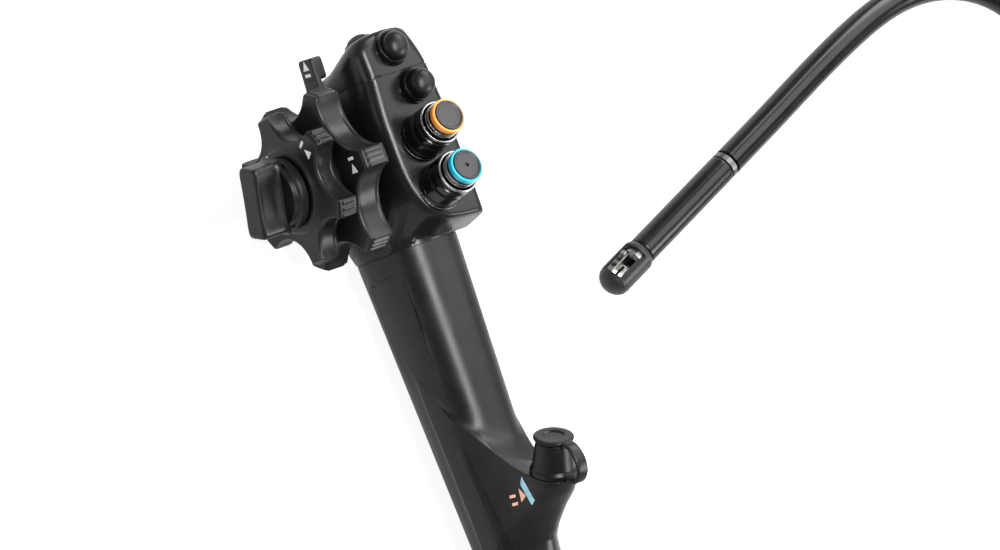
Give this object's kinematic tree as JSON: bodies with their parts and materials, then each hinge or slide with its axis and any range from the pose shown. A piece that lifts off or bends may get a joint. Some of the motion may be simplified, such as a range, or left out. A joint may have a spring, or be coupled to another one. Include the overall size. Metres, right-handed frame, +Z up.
{
  "type": "flexible endoscope",
  "caption": "Side-viewing flexible endoscope: control head with angulation wheels, valves, switches and instrument port, grip, insertion tube, jointed bending section and slotted distal tip.",
  "frame": {"origin": "on the surface the instrument lies on, under the middle of the control section's box (grip, head, wheels, boot and gland, without the insertion tube)", "axes": "+Z up; +Y along the grip towards the head; -X towards the wheels, +X towards the cord gland and the free insertion tube"},
  "size_m": [0.3885, 0.4006, 0.0755],
  "materials": {
    "moulded_satin": "satin black moulding",
    "panel_matt": "matt black",
    "button_face": "fine matt charcoal",
    "ring_orange": "semi-gloss orange",
    "ring_cyan": "semi-gloss cyan",
    "switch_rubber": "satin black",
    "boot_rubber": "soft black",
    "tube_skin": "smooth coated black",
    "cover_rubber": "glossy black",
    "steel": "polished",
    "brass": "machined",
    "distal_plastic": "satin dark grey",
    "lens_glass": "coated lens"
  },
  "bodies": {
    "control_section": {"air_water_cylinder": "moulded_satin", "air_water_spring": "steel", "base_plate": "brass", "bending_ferrule": "steel", "bending_rubber": "cover_rubber", "biopsy_cap": "boot_rubber", "boot": "boot_rubber", "boot_ring": "steel", "cord_gland": "moulded_satin", "front_switch_collar": "moulded_satin", "grip_shell": "moulded_satin", "grip_side_panel": "panel_matt", "head_housing": "moulded_satin", "head_top_cap": "moulded_satin", "instrument_channel": "panel_matt", "knob_spindle": "steel", "port_fitting": "steel", "suction_cylinder": "moulded_satin", "suction_spring": "steel", "top_switch_collar": "moulded_satin", "tube_coil": "tube_skin", "tube_lead": "tube_skin", "tube_run": "tube_skin", "upper_switch_collar": "moulded_satin"},
    "ud_wheel": {"ud_wheel": "moulded_satin", "ud_drum_shaft": "brass"},
    "rl_wheel": {"rl_wheel": "moulded_satin", "rl_drum_shaft": "brass"},
    "rl_brake_knob": {"rl_brake_knob": "moulded_satin"},
    "ud_brake_lever": {"ud_brake_lever": "moulded_satin"},
    "elevator_lever": {"elevator_lever": "moulded_satin"},
    "suction_button": {"suction_button": "button_face", "suction_colour_ring": "ring_orange"},
    "air_water_button": {"air_water_button": "button_face", "air_water_colour_ring": "ring_cyan"},
    "front_switch": {"front_switch": "switch_rubber"},
    "upper_switch": {"upper_switch": "switch_rubber"},
    "top_switch": {"top_switch": "switch_rubber"},
    "biopsy_lid": {"biopsy_lid": "boot_rubber"},
    "distal_end": {"distal_collar": "steel", "distal_body": "steel", "distal_cap": "distal_plastic", "objective_lens": "lens_glass", "light_lens": "lens_glass", "air_water_nozzle": "steel", "elevator_pin": "steel"},
    "elevator": {"elevator": "steel"},
    "link_01": {"vertebra_01": "steel"},
    "link_02": {"vertebra_02": "steel"},
    "link_03": {"vertebra_03": "steel"},
    "link_04": {"vertebra_04": "steel"},
    "link_05": {"vertebra_05": "steel"},
    "link_06": {"vertebra_06": "steel"},
    "link_07": {"vertebra_07": "steel"},
    "link_08": {"vertebra_08": "steel"},
    "link_09": {"vertebra_09": "steel"}
  },
  "joints": [
    {"name": "ud_wheel", "type": "hinge", "parent": "control_section", "child": "ud_wheel", "pos_m": [-0.01284, 0.10095, 0.03473], "axis": [-0.994, 0, 0.1091], "range_deg": [-60, 87]},
    {"name": "rl_wheel", "type": "hinge", "parent": "control_section", "child": "rl_wheel", "pos_m": [-0.01284, 0.10095, 0.03473], "axis": [-0.994, 0, 0.1091], "range_deg": [-60, 74]},
    {"name": "rl_brake", "type": "hinge", "parent": "control_section", "child": "rl_brake_knob", "pos_m": [-0.01284, 0.10095, 0.03473], "axis": [-0.994, 0, 0.1091], "range_deg": [0, 90]},
    {"name": "ud_brake", "type": "hinge", "parent": "control_section", "child": "ud_brake_lever", "pos_m": [-0.01284, 0.10095, 0.03473], "axis": [-0.994, 0, 0.1091], "range_deg": [0, 50]},
    {"name": "elevator_lever", "type": "hinge", "parent": "control_section", "child": "elevator_lever", "pos_m": [-0.01284, 0.10095, 0.03473], "axis": [-0.994, 0, 0.1091], "range_deg": [0, 60]},
    {"name": "suction_button", "type": "slide", "parent": "control_section", "child": "suction_button", "axis": [-0.1071, -0.1908, -0.9758], "range_m": [0, 0.003], "stiffness_N_per_m": 800, "springref_m": -0.002, "deforming": ["suction_spring"]},
    {"name": "air_water_button", "type": "slide", "parent": "control_section", "child": "air_water_button", "axis": [-0.1071, -0.1908, -0.9758], "range_m": [0, 0.003], "stiffness_N_per_m": 800, "springref_m": -0.002, "deforming": ["air_water_spring"]},
    {"name": "front_switch", "type": "slide", "parent": "control_section", "child": "front_switch", "axis": [-0.1091, 0, -0.994], "range_m": [0, 0.001], "stiffness_N_per_m": 900, "springref_m": -0.0006},
    {"name": "upper_switch", "type": "slide", "parent": "control_section", "child": "upper_switch", "axis": [-0.1088, -0.0797, -0.9909], "range_m": [0, 0.001], "stiffness_N_per_m": 900, "springref_m": -0.0006},
    {"name": "top_switch", "type": "slide", "parent": "control_section", "child": "top_switch", "axis": [0.0364, -0.9427, 0.3317], "range_m": [0, 0.001], "stiffness_N_per_m": 900, "springref_m": -0.0006},
    {"name": "biopsy_lid", "type": "hinge", "parent": "control_section", "child": "biopsy_lid", "pos_m": [0.02528, -0.03261, 0.0704], "axis": [0.994, 0, -0.1091], "range_deg": [0, 110]},
    {"name": "bend_01", "type": "hinge", "parent": "control_section", "child": "link_01", "pos_m": [0.16344, 0.05351, 0.00655], "axis": [-0.2944, 0.7072, -0.6428], "range_deg": [-18, 26.1], "deforming": ["bending_rubber"]},
    {"name": "bend_02", "type": "hinge", "parent": "link_01", "child": "link_02", "pos_m": [0.15901, 0.05166, 0.00655], "axis": [-0.247, 0.5934, 0.766], "range_deg": [-18, 22.2]},
    {"name": "bend_03", "type": "hinge", "parent": "link_02", "child": "link_03", "pos_m": [0.15458, 0.04982, 0.00655], "axis": [-0.2944, 0.7072, -0.6428], "range_deg": [-18, 26.1]},
    {"name": "bend_04", "type": "hinge", "parent": "link_03", "child": "link_04", "pos_m": [0.15014, 0.04797, 0.00655], "axis": [-0.247, 0.5934, 0.766], "range_deg": [-18, 22.2]},
    {"name": "bend_05", "type": "hinge", "parent": "link_04", "child": "link_05", "pos_m": [0.14571, 0.04613, 0.00655], "axis": [-0.2944, 0.7072, -0.6428], "range_deg": [-18, 26.1]},
    {"name": "bend_06", "type": "hinge", "parent": "link_05", "child": "link_06", "pos_m": [0.14128, 0.04428, 0.00655], "axis": [-0.247, 0.5934, 0.766], "range_deg": [-18, 22.2]},
    {"name": "bend_07", "type": "hinge", "parent": "link_06", "child": "link_07", "pos_m": [0.13685, 0.04244, 0.00655], "axis": [-0.2944, 0.7072, -0.6428], "range_deg": [-18, 26.1]},
    {"name": "bend_08", "type": "hinge", "parent": "link_07", "child": "link_08", "pos_m": [0.13242, 0.04059, 0.00655], "axis": [-0.247, 0.5934, 0.766], "range_deg": [-18, 22.2]},
    {"name": "bend_09", "type": "hinge", "parent": "link_08", "child": "link_09", "pos_m": [0.12799, 0.03875, 0.00655], "axis": [-0.2944, 0.7072, -0.6428], "range_deg": [-18, 26.1]},
    {"name": "bend_10", "type": "hinge", "parent": "link_09", "child": "distal_end", "pos_m": [0.12356, 0.03691, 0.00655], "axis": [-0.247, 0.5934, 0.766], "range_deg": [-18, 22.2]},
    {"name": "elevator", "type": "hinge", "parent": "distal_end", "child": "elevator", "pos_m": [0.11388, 0.03062, 0.00516], "axis": [-0.2944, 0.7072, -0.6428], "range_deg": [0, 66]}
  ],
  "couplings": [
    {"joint": "bend_01", "follows": "ud_wheel", "ratio": 0.3},
    {"joint": "bend_02", "follows": "rl_wheel", "ratio": 0.3},
    {"joint": "bend_03", "follows": "ud_wheel", "ratio": 0.3},
    {"joint": "bend_04", "follows": "rl_wheel", "ratio": 0.3},
    {"joint": "bend_05", "follows": "ud_wheel", "ratio": 0.3},
    {"joint": "bend_06", "follows": "rl_wheel", "ratio": 0.3},
    {"joint": "bend_07", "follows": "ud_wheel", "ratio": 0.3},
    {"joint": "bend_08", "follows": "rl_wheel", "ratio": 0.3},
    {"joint": "bend_09", "follows": "ud_wheel", "ratio": 0.3},
    {"joint": "bend_10", "follows": "rl_wheel", "ratio": 0.3},
    {"joint": "elevator", "follows": "elevator_lever", "ratio": 1.1}
  ]
}
